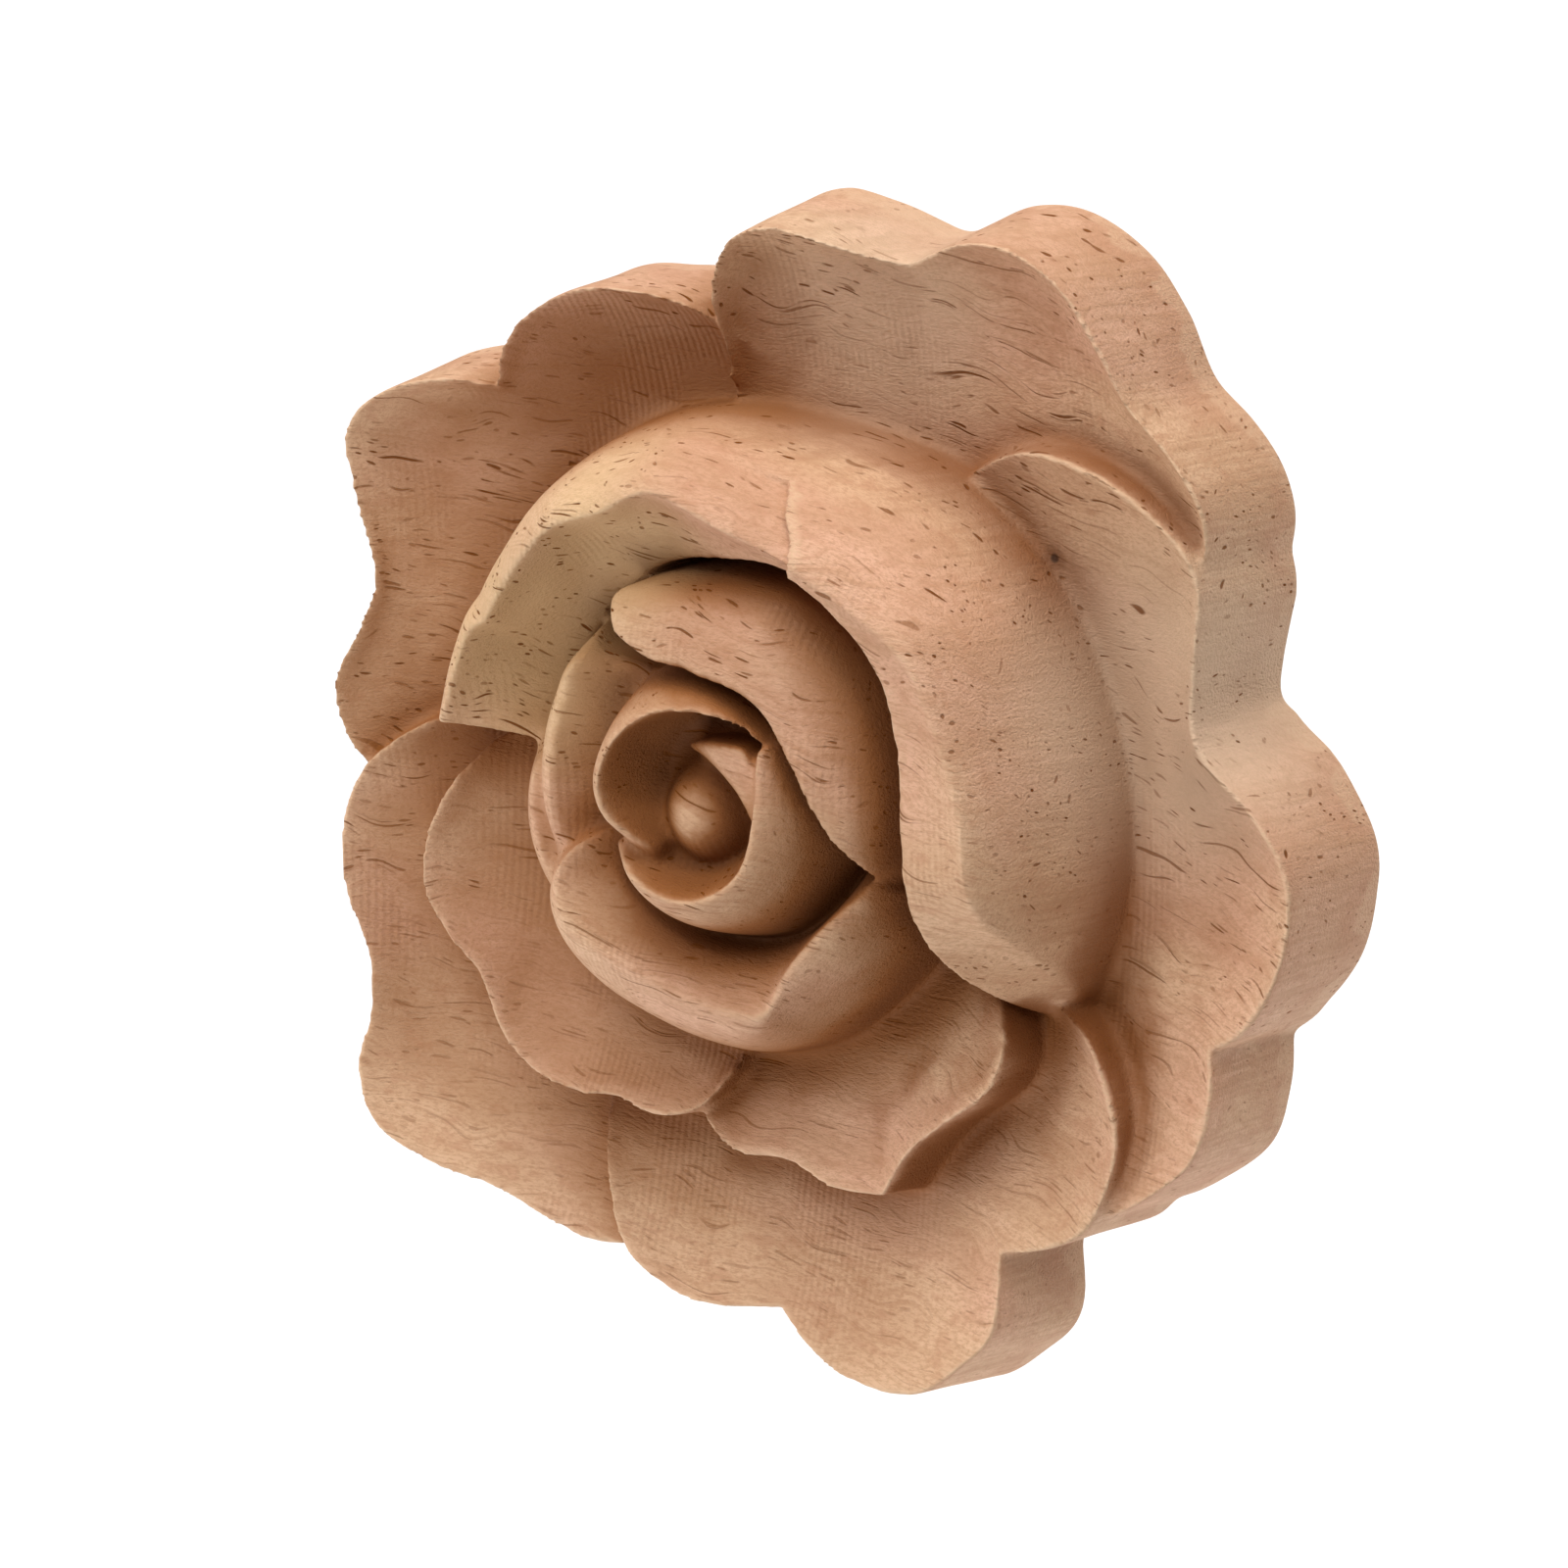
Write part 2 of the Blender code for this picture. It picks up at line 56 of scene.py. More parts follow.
to_right = Vector((cos(VIEW_ROUND), sin(VIEW_ROUND), 0))
to_camera = Vector((sin(VIEW_ROUND) * cos(VIEW_UP), -cos(VIEW_ROUND) * cos(VIEW_UP), sin(VIEW_UP)))
to_top = to_camera.cross(to_right)
aim = -to_right * AIM_LEFT - to_top * AIM_DOWN
lens = bpy.data.cameras.new("camera")
lens.lens = LENS_MM
lens.sensor_width = SENSOR_MM
lens.clip_start, lens.clip_end = NEAREST, FARTHEST
camera = bpy.data.objects.new("camera", lens)
bpy.context.scene.collection.objects.link(camera)
turn = Matrix((to_right, to_top, to_camera)).transposed().to_4x4()
camera.matrix_world = Matrix.Translation(aim + to_camera * CAMERA_DISTANCE) @ turn
bpy.context.scene.camera = camera

# The carved rose is one block of pale, open-pored hardwood. Every petal is worked out from a few
# stations: a clock angle in degrees, a reach from the bud's axis and a height above the flat
# back, both in millimetres. A station written twice is a sharp corner.
SPAN_STEPS = 8
SECTION_STEPS = 14
BLANK_DEPTH = 1.5
EASED_STATIONS = 3

# How far the sawn wall leans out for each millimetre that it falls, at clock angles round the rim.
WALL_LEANS = [(0, 0.15), (6, 0.22), (11, 0.22), (15, 0.12), (25, 0.18), (33, 0.12), (45, 0.11), (52, 0.16),
              (75, 0.15), (91, 0.165), (104, 0.10), (114, 0.035), (123, 0.09), (145, 0.13), (180, 0.10),
              (270, 0.10), (290, 0.12), (297, 0.12), (304, 0.04), (311, 0.07), (331, 0.06), (337, 0.09),
              (343, 0.04), (349, 0.07), (355, 0.09), (360, 0.15)]


def place(station):
    """The station's place in plan, as X, Z and height above the back, in metres."""
    angle, reach, height = station
    clock = radians(angle)
    return Vector((reach * cos(clock), reach * sin(clock), height)) * MM


def smooth_line(stations, steps=SPAN_STEPS):
    """A smooth line through the stations, with this many steps between each two of them."""
    places = [place(station) for station in stations]
    line = [places[0]]
    for index in range(len(places) - 1):
        start = places[index]
        end = places[index + 1]
        if start == end:
            continue
        before = places[index - 1] if index else start * 2 - end
        after = places[index + 2] if index + 2 < len(places) else end * 2 - start
        leave = (end - before) / 2
        arrive = (after - start) / 2
        for step in range(1, steps + 1):
            share = step / steps
            rest = 1 - share
            blend = share * share * (3 - 2 * share)
            line.append(start.lerp(end, blend) + leave * share * rest * rest - arrive * share * share * rest)
    return line


def stretched(line, count):
    """The same line, read at this many evenly counted places."""
    points = []
    for index in range(count):
        position = index * (len(line) - 1) / (count - 1)
        first = min(int(position), len(line) - 2)
        points.append(line[first].lerp(line[first + 1], position - first))
    return points


def section_point(low, high, share, bow):
    """A point on the way up from low to high. A bow of 1 bulges and of -1 hollows like a quarter ellipse."""
    quarter = share * pi / 2
    bulge = (1 - cos(quarter), sin(quarter))
    along, rise = bulge if bow > 0 else bulge[::-1]
    along = share + (along - share) * abs(bow)
    rise = share + (rise - share) * abs(bow)
    return Vector((low.x + (high.x - low.x) * along, low.y + (high.y - low.y) * along,
                   low.z + (high.z - low.z) * rise))


def wall_line(rim):
    """The line where a cut wall that leans out from the rim ends behind the back."""
    line = []
    for index, point in enumerate(rim):
        ahead = rim[min(index + 3, len(rim) - 1)]
        behind = rim[max(index - 3, 0)]
        out = Vector((ahead.y - behind.y, behind.x - ahead.x, 0)).normalized()
        clock = degrees(atan2(point.y, point.x)) % 360
        lean = np.interp(clock, [pair[0] for pair in WALL_LEANS], [pair[1] for pair in WALL_LEANS])
        foot = point + out * (point.z + BLANK_DEPTH * MM) * lean
        line.append(Vector((foot.x, foot.y, -BLANK_DEPTH * MM)))
    return line


def eased(line):
    """The line with its scallops evened out over a few stations, its two ends kept."""
    reach = EASED_STATIONS * SPAN_STEPS
    points = []
    for index in range(len(line)):
        span = min(reach, index, len(line) - 1 - index)
        near = line[index - span:index + span + 1]
        points.append(sum(near, Vector()) / len(near))
    return points


def petal(block, lines, bows, walled=False):
    """Adds one petal to the block: a closed solid under the surface that its lines span.

    On a walled petal the scallops of the rim die away towards the root.
    """
    smooth = [smooth_line(stations) for stations in lines]
    count = max(len(line) for line in smooth)
    smooth = [line if len(line) == count else stretched(line, count) for line in smooth]
    rows = [smooth[0]]
    for first, second, bow in zip(smooth, smooth[1:], bows):
        rises = sum(point.z for point in second) > sum(point.z for point in first)
        even = eased(second) if walled else second
        for step in range(1, SECTION_STEPS + 1):
            share = step / SECTION_STEPS
            if rises:
                ends = [far.lerp(edge, share) for far, edge in zip(even, second)]
                rows.append([section_point(a, b, share, bow) for a, b in zip(first, ends)])
            else:
                rows.append([section_point(b, a, 1 - share, bow) for a, b in zip(first, second)])
    if walled:
        rows.append(wall_line(rows[-1]))
    across = len(rows) - 1
    along = count - 1
    sheet = bmesh.ops.create_grid(block, x_segments=across, y_segments=along, size=1)["verts"]
    for vertex in sheet:
        row = rows[round((vertex.co.x + 1) / 2 * across)]
        point = row[round((vertex.co.y + 1) / 2 * along)]
        vertex.co = (point.x, -point.z, point.y)
    faces = list({face for vertex in sheet for face in vertex.link_faces})
    below = bmesh.ops.extrude_face_region(block, geom=faces)["geom"]
    for vertex in below:
        if isinstance(vertex, bmesh.types.BMVert):
            vertex.co.y = 2 * BLANK_DEPTH * MM


def floor_disc(block, reach, height, segments=96):
    """Adds a round floor to the block."""
    disc = bmesh.ops.create_cone(block, cap_ends=True, segments=segments, radius1=reach * MM,
                                 radius2=reach * MM, depth=(height + BLANK_DEPTH) * MM)["verts"]
    for vertex in disc:
        x, y, z = vertex.co
        vertex.co = (x, z - (height - BLANK_DEPTH) / 2 * MM, y)


def bead(block, centre, reaches, clock, foot, top):
    """Adds a standing egg shape to the block."""
    egg = bmesh.ops.create_uvsphere(block, u_segments=48, v_segments=24, radius=1)["verts"]
    for vertex in egg:
        wide = vertex.co.x * reaches[0]
        long = vertex.co.y * reaches[1]
        x = centre[0] + wide * cos(clock) - long * sin(clock)
        z = centre[1] + wide * sin(clock) + long * cos(clock)
        vertex.co = (x * MM, -(foot + vertex.co.z * (top - foot)) * MM, z * MM)


block = bmesh.new()
floor_disc(block, 21.0, 7.6)

# The five outer petals are scooped dishes whose scalloped rims are the flower's sawn outline.
petal(block, [
    [(99, 19, 3.6), (140, 19, 4.0), (192, 19, 4.0)],
    [(96, 26.5, 4.8), (102, 31.0, 8.3), (109, 33.6, 9.4), (118, 35.8, 9.5), (126, 36.3, 9.5),
     (132, 35.6, 9.2), (136, 34.4, 8.5), (136, 34.4, 8.5), (140, 37.6, 9.4), (146, 40.8, 9.5),
     (152, 42.2, 9.5), (158, 39.8, 9.0), (165, 36.9, 8.6), (171, 37.2, 9.0), (178, 38.7, 9.5),
     (185, 37.4, 8.8), (190, 33.5, 7.5)],
], [-0.8], walled=True)
petal(block, [
    [(27, 19, 4.0), (65, 18, 4.2), (110, 19, 4.0)],
    [(27, 36.0, 8.0), (31, 38.8, 9.0), (35, 39.8, 9.4), (40, 39.7, 9.5), (46, 39.3, 9.5),
     (52, 40.5, 9.5), (58, 41.7, 9.5), (64, 41.6, 9.5), (69, 40.2, 9.2), (73, 38.0, 8.3),
     (76, 36.6, 7.5), (80, 36.4, 8.5), (86, 36.8, 9.4), (92, 37.2, 9.5), (97, 36.3, 9.5),
     (100, 33.6, 9.5), (101, 31.0, 9.2), (102, 28.2, 8.0), (104, 25.6, 6.2)],
], [-0.85], walled=True)
petal(block, [
    [(304, 19, 4.5), (0, 19, 4.5), (58, 19, 4.5)],
    [(306, 34.0, 7.0), (314, 36.8, 8.5), (320, 38.2, 9.3), (327, 39.3, 9.5), (333, 38.4, 9.3),
     (338, 36.7, 8.8), (338, 36.7, 8.8), (342, 38.7, 9.3), (348, 40.1, 9.5), (354, 40.5, 9.5),
     (359, 39.8, 9.5), (4, 37.4, 9.5), (9, 34.2, 9.3), (13, 33.3, 9.0), (18, 34.1, 9.0),
     (23, 35.6, 9.2), (27, 37.0, 9.3), (31, 37.2, 9.5), (36, 36.2, 9.5), (41, 34.9, 9.5),
     (46, 33.2, 9.3), (51, 31.1, 8.5), (55, 28.6, 7.4), (59, 25.4, 6.0)],
], [-0.5], walled=True)
petal(block, [
    [(236, 19, 5.0), (285, 19, 5.0), (322, 19, 5.0)],
    [(237, 30.0, 7.0), (240, 32.1, 8.0), (244, 34.5, 9.0), (249, 37.4, 9.5), (256, 38.6, 9.5),
     (262, 38.2, 9.3), (269, 37.3, 8.6), (269, 37.3, 8.6), (273, 39.4, 9.3), (278, 41.5, 9.5),
     (285, 42.6, 9.5), (291, 41.3, 9.5), (296, 39.6, 9.4), (300, 35.0, 8.8), (300, 35.0, 8.8),
     (306, 36.2, 9.3), (312, 36.9, 9.6), (318, 36.0, 10.0), (323, 34.4, 10.0), (327, 31.8, 10.0),
     (330, 28.6, 9.5), (330, 25.0, 8.5)],
], [-0.5], walled=True)
petal(block, [
    [(178, 18, 4.5), (215, 19, 4.6), (252, 19, 4.0)],
    [(178, 27.0, 7.0), (181, 31.5, 8.6), (186, 36.0, 9.5), (192, 38.7, 9.5), (199, 40.1, 9.4),
     (206, 40.3, 9.0), (211, 42.2, 8.9), (215, 45.2, 9.3), (220, 46.2, 9.5), (226, 44.2, 9.4),
     (232, 41.5, 8.9), (238, 40.3, 8.7), (244, 39.3, 8.4), (249, 37.4, 7.8), (254, 34.0, 6.5)],
], [-0.5], walled=True)

# The two middle petals stand over the outer ones at the lower left.
petal(block, [
    [(178, 15, 7.6), (215, 16, 8.0), (266, 15, 8.0)],
    [(179, 22.4, 8.6), (181, 24.2, 9.6), (184, 25.3, 10.8), (188, 26.8, 11.9), (195, 29.2, 12.5),
     (202, 30.5, 12.5), (209, 29.9, 12.3), (215, 29.2, 12.0), (223, 30.1, 12.0),
     (230, 29.7, 12.2), (237, 28.1, 12.3),
     (243, 26.4, 12.0), (250, 25.7, 12.3), (257, 23.9, 12.0), (261, 21.2, 11.0), (263, 18.5, 9.0)],
], [-0.6], walled=True)
petal(block, [
    [(255, 15, 7.6), (290, 15, 7.6), (322, 15, 7.6)],
    [(254, 22.0, 9.5), (257, 24.3, 11.0), (264, 26.0, 11.3), (273, 26.0, 11.0), (282, 27.7, 11.5),
     (290, 28.7, 11.5), (290, 28.7, 11.5), (297, 26.5, 11.8), (306, 25.9, 12.0), (315, 26.0, 12.0),
     (321, 24.8, 11.2), (325, 22.0, 9.5)],
], [-0.6], walled=True)

# The big rolled petal wraps the bud from the lower right, over the top, to its tip at the left.
petal(block, [
    [(328, 26.6, 5.5), (334, 26.6, 4.8), (341, 26.3, 4.2), (348, 26.2, 4.0), (356, 26.2, 4.0),
     (6, 26.0, 4.0), (20, 25.5, 4.0), (35, 25.5, 4.0), (50, 25.3, 4.0), (66, 24.8, 4.0),
     (82, 24.2, 4.0), (98, 24.9, 4.0), (106, 25.4, 4.0), (114, 25.9, 4.0), (124, 26.3, 4.0),
     (135, 26.5, 4.0), (147, 26.7, 4.0), (155, 27.1, 4.0), (159, 27.3, 4.0), (168, 27.7, 4.0),
     (178, 28.2, 4.0)],
    [(329, 25.8, 7.0), (335, 25.3, 9.8), (341, 24.2, 14.0), (347, 23.2, 18.0), (354, 22.4, 20.0),
     (6, 22.2, 20.5), (20, 21.6, 20.5), (35, 21.4, 20.5), (50, 19.8, 20.5), (66, 19.1, 20.5),
     (81, 19.2, 20.3), (97, 20.8, 20.0), (104, 20.8, 19.9), (112, 20.3, 19.7), (124, 21.0, 19.3),
     (135, 21.0, 18.6), (147, 21.4, 17.2), (155, 22.1, 16.1), (155, 22.1, 16.1), (159, 23.3, 15.7),
     (168, 24.2, 14.9), (177, 25.5, 14.0)],
    [(326, 24.6, 7.0), (326, 22.8, 9.5), (329, 20.6, 13.2), (336, 18.8, 16.8), (347, 17.3, 19.0),
     (2, 16.6, 19.3), (18, 17.2, 19.3), (34, 18.4, 19.6), (49, 18.4, 19.8), (63, 18.3, 20.0),
     (78, 17.0, 18.4), (96, 16.1, 16.4), (103, 16.0, 15.6), (111, 16.0, 14.9), (122, 16.0, 13.8),
     (134, 16.2, 12.6), (147, 16.6, 11.4), (157, 17.2, 10.6), (163, 17.4, 10.4), (171, 17.8, 10.8),
     (178, 18.4, 11.8)],
], [0.8, -0.5])

# The bud's own petals, from the outside inwards: ledge, left petal, cup and cape.
petal(block, [
    [(176, 20.5, 8.0), (200, 21.5, 8.0), (222, 21.5, 8.0)],
    [(174, 16.6, 12.5), (182, 17.2, 14.0), (192, 17.9, 14.1), (202, 17.9, 14.0), (212, 17.4, 13.0)],
    [(176, 14.5, 13.2), (195, 14.8, 13.4), (212, 14.8, 12.6)],
], [0.6, -0.2])
petal(block, [
    [(142, 16.3, 9.0), (160, 16.6, 9.0), (180, 17.4, 9.5), (206, 18.0, 10.0)],
    [(141, 13.8, 15.4), (144, 14.0, 16.5), (149, 14.1, 16.9), (157, 14.0, 16.6), (168, 14.0, 16.5),
     (181, 14.3, 16.3), (192, 14.6, 16.0), (203, 14.4, 15.3)],
    [(127, 9.6, 15.2), (146, 10.0, 14.6), (168, 10.2, 14.2), (183, 10.6, 14.0), (200, 10.6, 13.8)],
], [0.85, 0.1])
petal(block, [
    [(198, 19.5, 7.6), (215, 21.0, 7.6), (232, 20.9, 7.6), (250, 19.8, 7.6), (268, 19.2, 7.6),
     (285, 18.2, 7.6), (302, 17.0, 7.6), (322, 16.5, 7.6), (340, 16.0, 7.6)],
    [(200, 10.5, 15.6), (203, 12.9, 17.0), (209, 15.0, 17.3), (218, 15.6, 17.6), (229, 14.8, 17.8),
     (243, 13.8, 18.0), (262, 13.8, 18.0), (276, 14.2, 18.0), (286, 14.7, 18.0), (291, 14.4, 18.0),
     (297, 13.2, 18.0), (305, 12.3, 18.0), (315, 11.9, 18.0), (325, 12.0, 17.8), (335, 12.6, 17.2),
     (342, 13.1, 16.4)],
    [(200, 9.4, 14.8), (214, 11.0, 15.6), (235, 10.8, 15.8), (262, 10.7, 15.7), (286, 10.9, 15.4),
     (305, 10.8, 14.8), (325, 10.8, 14.0), (343, 11.2, 13.2)],
    [(200, 8.0, 13.5), (250, 9.0, 11.6), (300, 9.5, 10.6), (345, 10.0, 10.8)],
], [0.75, 0.25, -0.3])
petal(block, [
    [(340, 15.6, 9.0), (20, 16.4, 9.5), (60, 16.8, 9.5), (84, 15.8, 9.5), (100, 15.5, 9.5),
     (121, 16.0, 9.5)],
    [(341, 14.2, 12.6), (352, 15.0, 13.2), (10, 15.6, 13.8), (25, 15.9, 14.6), (40, 16.1, 15.4),
     (53, 16.0, 16.2), (64, 15.8, 16.8), (72, 15.4, 17.0), (84, 14.8, 17.2), (97, 14.5, 17.3),
     (109, 15.0, 17.3), (118, 15.4, 17.3), (122, 15.2, 17.3)],
    [(341, 13.0, 15.5), (346, 13.0, 17.5), (354, 11.5, 19.2), (6, 10.1, 20.0), (20, 9.6, 20.4),
     (34, 9.4, 20.5), (48, 9.6, 20.5), (63, 9.4, 20.5), (80, 9.0, 20.3), (96, 9.4, 20.1),
     (108, 10.0, 20.0), (118, 11.7, 19.6), (122, 12.7, 19.1), (123, 13.1, 18.7)],
], [0.1, 0.75])
floor_disc(block, 11.5, 10.5)

# The spiral at the heart of the bud: coil, wrap, a small leaf and the bead.
petal(block, [
    [(27, 10.6, 13.0), (80, 8.9, 14.0), (118, 9.6, 15.4), (150, 9.8, 14.6), (178, 9.6, 14.2),
     (200, 8.4, 13.6), (236, 7.4, 14.0)],
    [(36, 8.0, 19.4), (43, 7.9, 20.4), (51, 7.9, 20.9), (62, 7.5, 21.3), (82, 6.9, 21.5), (108, 6.6, 21.5),
     (138, 6.5, 21.5), (166, 6.5, 21.5), (189, 6.1, 21.2), (208, 5.0, 20.5), (228, 4.5, 19.4)],
    [(36, 7.2, 18.0), (62, 6.6, 16.8), (90, 5.9, 16.4), (125, 5.0, 16.8), (160, 4.4, 17.2),
     (228, 3.4, 17.0)],
], [0.7, -0.4])
petal(block, [
    [(204, 10.2, 11.0), (250, 10.4, 10.4), (300, 10.6, 10.2), (350, 11.0, 10.4), (36, 10.6, 12.0)],
    [(207, 7.5, 18.6), (225, 6.9, 20.2), (247, 6.4, 20.8), (276, 6.2, 21.0), (305, 6.0, 21.0),
     (331, 5.9, 21.0), (359, 5.9, 21.0), (17, 6.4, 21.0), (29, 7.0, 20.9), (38, 7.7, 20.6)],
    [(210, 4.6, 17.0), (270, 4.6, 17.2), (330, 4.4, 17.4), (20, 4.6, 18.0), (40, 5.4, 18.0)],
], [0.75, -0.4])
petal(block, [
    [(102, 4.2, 18.8), (80, 4.6, 19.5), (60, 5.4, 20.0), (42, 6.6, 20.3), (15, 6.2, 20.0), (350, 6.0, 19.4)],
    [(104, 3.9, 18.6), (78, 3.5, 19.2), (52, 3.5, 19.6), (22, 4.1, 19.9), (1, 4.9, 19.9), (348, 5.1, 19.2)],
    [(120, 2.4, 16.5), (40, 2.2, 16.5), (340, 3.0, 16.5)],
], [0.5, -0.4])
floor_disc(block, 6.5, 16.4)
bead(block, (-0.4, -0.9), (3.7, 3.8), radians(6), 15.0, 19.5)

# The cutter leaves one skin over all the petals, a little round in every valley, and the saw
# takes the blank off flat at the back.
SKIN_GRAIN = 0.2 * MM
SKIN_TRIANGLES = 165_000
LONGEST_EDGE = 1.0 * MM
VALLEY_ROUNDS = 24
VALLEY_SHARE = 0.9
BUD_REACHES = (13 * MM, 17 * MM)
BUD_CREST_SHARES = (0.16, 0.06)

block.normal_update()
bmesh.ops.recalc_face_normals(block, faces=block.faces[:])
mesh = bpy.data.meshes.new("rose_carving")
block.to_mesh(mesh)
block.free()
rose = bpy.data.objects.new("rose_carving", mesh)
bpy.context.scene.collection.objects.link(rose)


def worked(item, kind, **settings):
    """Runs one of Blender's modifiers on the item and keeps the result as its mesh."""
    modifier = item.modifiers.new(kind, kind)
    for name, value in settings.items():
        setattr(modifier, name, value)
    view = bpy.context.evaluated_depsgraph_get()
    result = bpy.data.meshes.new_from_object(item.evaluated_get(view))
    item.modifiers.clear()
    old = item.data
    item.data = result
    bpy.data.meshes.remove(old)


worked(rose, "REMESH", mode="VOXEL", voxel_size=SKIN_GRAIN)


def neighbour_mean(places, ends):
    """For every point of the skin, the mean place of the points that it shares an edge with."""
    count = len(places)
    first = np.concatenate((ends[:, 0], ends[:, 1]))
    second = np.concatenate((ends[:, 1], ends[:, 0]))
    ties = np.bincount(first, minlength=count)[:, None]
    sums = [np.bincount(first, weights=places[second, axis], minlength=count) for axis in range(3)]
    return np.stack(sums, 1) / np.maximum(ties, 1)


def skin_arrays(mesh):
    """The skin's points, edges and normals as arrays."""
    places = np.empty(len(mesh.vertices) * 3)
    mesh.vertices.foreach_get("co", places)
    ends = np.empty(len(mesh.edges) * 2, dtype=np.int64)
    mesh.edges.foreach_get("vertices", ends)
    normals = np.empty(len(mesh.vertices) * 3, dtype=np.float32)
    mesh.vertex_normals.foreach_get("vector", normals)
    return places.reshape(-1, 3), ends.reshape(-1, 2), normals.reshape(-1, 3).astype(float)


places, ends, normals = skin_arrays(rose.data)
crest_share = np.interp(np.hypot(places[:, 0], places[:, 2]), BUD_REACHES, BUD_CREST_SHARES)
for turn_count in range(VALLEY_ROUNDS):
    pull = neighbour_mean(places, ends) - places
    out = (pull * normals).sum(1)
    share = np.where(out > 0, VALLEY_SHARE, crest_share)[:, None]
    places = places + pull * share
rose.data.vertices.foreach_set("co", places.astype(np.float32).ravel())
rose.data.update()

# By hand and by cutter the surface is never quite even, and the thin crests are a little torn
# along the grain.
UNEVEN_DEPTH = 0.10
UNEVEN_WIDTH = 5.0
TORN_DEPTH = 0.16
TORN_WIDTH = 0.9
SHARP_ROUNDS = 6
SHARP_RISE = 0.12 * MM


def flutter(spot, width, along=1.0):
    """Smooth noise from -1 to 1 whose swells are this wide, in mm, and stretched along the grain."""
    return noise.noise(Vector((spot[0] / along, spot[1], spot[2])) / (width * MM))


places, ends, normals = skin_arrays(rose.data)
sharpness = places
for turn_count in range(SHARP_ROUNDS):
    sharpness = neighbour_mean(sharpness, ends)
sharpness = np.clip(((places - sharpness) * normals).sum(1) / SHARP_RISE, 0, 1)
uneven = np.array([flutter(spot, UNEVEN_WIDTH) for spot in places.tolist()]) * UNEVEN_DEPTH
torn = np.array([max(0.0, flutter(spot, TORN_WIDTH, 1.5)) if sharp > 0.15 else 0.0
                 for spot, sharp in zip(places.tolist(), sharpness)]) * sharpness * TORN_DEPTH

# The cutter's last pass on the big petal came in from the right and ends in a small step.
STEP_PLACE = (-6.34, 16.0, 22.8)
STEP_LEAN = 0.7265
STEP_DEPTH = 0.40
STEP_LENGTH = 4.5
STEP_LOWEST = 15.5
STEP_END = 1.5
step_x, step_low, step_high = STEP_PLACE
step_line = step_x - STEP_LEAN * places[:, 1] / MM + 0.12 * np.sin(places[:, 2] / MM * 2.1)
behind = step_line - places[:, 0] / MM
within = (places[:, 2] > step_low * MM) & (places[:, 2] < step_high * MM)
within &= places[:, 1] < -STEP_LOWEST * MM
step = np.where(within & (behind > 0), np.clip(1 - behind / STEP_LENGTH, 0, 1), 0)
ends_soft = np.clip((step_high * MM - places[:, 2]) / (STEP_END * MM), 0, 1)
places = places + normals * ((uneven - torn - step * ends_soft * STEP_DEPTH) * MM)[:, None]
rose.data.vertices.foreach_set("co", places.astype(np.float32).ravel())
rose.data.update()

blank = bmesh.new()
blank.from_mesh(rose.data)
cut = bmesh.ops.bisect_plane(blank, geom=blank.verts[:] + blank.edges[:] + blank.faces[:],
                             plane_co=(0, 0, 0), plane_no=(0, 1, 0), clear_outer=True)
edges = [item for item in cut["geom_cut"] if isinstance(item, bmesh.types.BMEdge)]
bmesh.ops.holes_fill(blank, edges=edges, sides=0)
blank.to_mesh(rose.data)
blank.free()
skin_count = sum(len(face.vertices) - 2 for face in rose.data.polygons)
worked(rose, "DECIMATE", decimate_type="COLLAPSE", ratio=min(1.0, SKIN_TRIANGLES / skin_count))
edged = bmesh.new()
edged.from_mesh(rose.data)
for turn_count in range(3):
    long_edges = [edge for edge in edged.edges if edge.calc_length() > LONGEST_EDGE
                  and all(face.normal.y < 0.9 for face in edge.link_faces)]
    bmesh.ops.subdivide_edges(edged, edges=long_edges, cuts=1, use_single_edge=True)
    bmesh.ops.triangulate(edged, faces=[face for face in edged.faces if len(face.verts) > 3])
same_corners = {}
for face in edged.faces:
    same_corners.setdefault(frozenset(face.verts), []).append(face)
fins = [face for faces in same_corners.values() if len(faces) > 1 for face in faces]
bmesh.ops.delete(edged, geom=fins, context="FACES")
for edge in edged.edges:
    flat = [face.normal.y > 0.95 for face in edge.link_faces]
    edge.smooth = all(flat) or not any(flat)
edged.to_mesh(rose.data)
edged.free()
rose.data.shade_smooth()

# Raw carved wood is a little torn and pale on its crests, with a painted highlight along them, and its
# valleys and deep hollows get painted shade in darker brown.
# These places are read from the skin, and kept on it as an attribute: red for the crests, green for
# the valleys, blue for how much the petals shelter a point, and alpha for the broad band along each
# crest.
CREST_ROUNDS = 5
CREST_RISE = 0.10 * MM
VALLEY_LINE_ROUNDS = 40
VALLEY_DEPTH = 0.45 * MM
RIM_BAND_ROUNDS = 30
RIM_BAND_RISE = 0.35 * MM
SHELTER_REACH = 14 * MM
SHELTER_LOOKS = 44

places, ends, normals = skin_arrays(rose.data)


def hollowness(rounds, full_depth):
    """How far the skin lies below its own surroundings, as a share of full_depth. Crests are negative."""
    eased = places
    for turn_count in range(rounds):
        eased = neighbour_mean(eased, ends)
    return ((eased - places) * normals).sum(1) / full_depth


